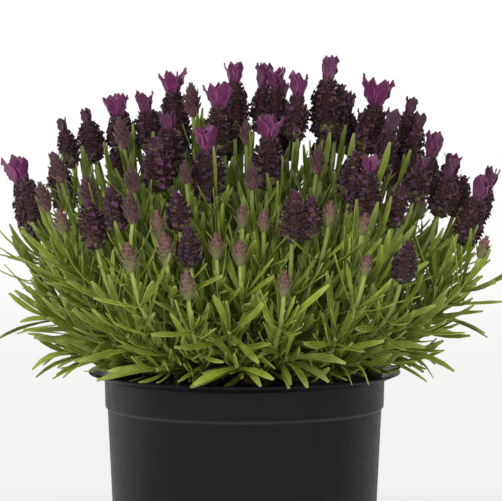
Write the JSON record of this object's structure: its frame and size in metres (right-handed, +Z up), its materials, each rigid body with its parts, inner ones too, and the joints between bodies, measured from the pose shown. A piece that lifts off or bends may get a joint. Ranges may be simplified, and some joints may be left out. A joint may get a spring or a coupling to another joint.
{
  "type": "potted lavender",
  "caption": "Flowering butterfly lavender bush with dense dark flower spikes, magenta bracts and narrow green leaves, growing in a plain round nursery pot filled with soil",
  "frame": {"origin": "centre of the underside of the pot's floor, on the surface that it stands on", "axes": "Z up along the pot's axis, X to the picture's right, and the picture's front faces -Y"},
  "size_m": [0.2846, 0.2556, 0.3107],
  "materials": {
    "pot": "smooth black, soft sheen",
    "soil": "crumbly dark potting soil",
    "foliage": "living green stems and leaves",
    "florets": "dark purple spikes with magenta bracts"
  },
  "bodies": {
    "root": {"pot": "pot", "soil": "soil", "leafy_branch_1": "foliage", "leafy_branch_2": "foliage", "leafy_branch_3": "foliage", "leafy_branch_4": "foliage", "leafy_branch_5": "foliage", "leafy_branch_6": "foliage", "leafy_branch_7": "foliage", "leafy_branch_8": "foliage", "flower_head_01": "florets", "flower_head_02": "florets", "flower_head_03": "florets", "flower_head_04": "florets", "flower_head_05": "florets", "flower_head_06": "florets", "flower_head_07": "florets", "flower_head_08": "florets", "flower_head_09": "florets", "flower_head_10": "florets", "flower_head_11": "florets", "flower_head_12": "florets", "flower_head_13": "florets", "flower_head_14": "florets", "flower_head_15": "florets", "flower_head_16": "florets", "flower_head_17": "florets", "flower_head_18": "florets", "flower_head_19": "florets", "flower_head_20": "florets", "flower_head_21": "florets", "flower_head_22": "florets", "flower_head_23": "florets", "flower_head_24": "florets", "flower_head_25": "florets", "flower_head_26": "florets", "flower_head_27": "florets", "flower_head_28": "florets", "flower_head_29": "florets", "flower_head_30": "florets", "flower_head_31": "florets", "flower_head_32": "florets", "flower_head_33": "florets", "flower_head_34": "florets", "flower_head_35": "florets", "flower_head_36": "florets", "flower_head_37": "florets", "flower_head_38": "florets", "flower_head_39": "florets", "flower_head_40": "florets", "flower_head_41": "florets", "flower_head_42": "florets", "flower_head_43": "florets", "flower_head_44": "florets", "flower_head_45": "florets"}
  },
  "joints": []
}
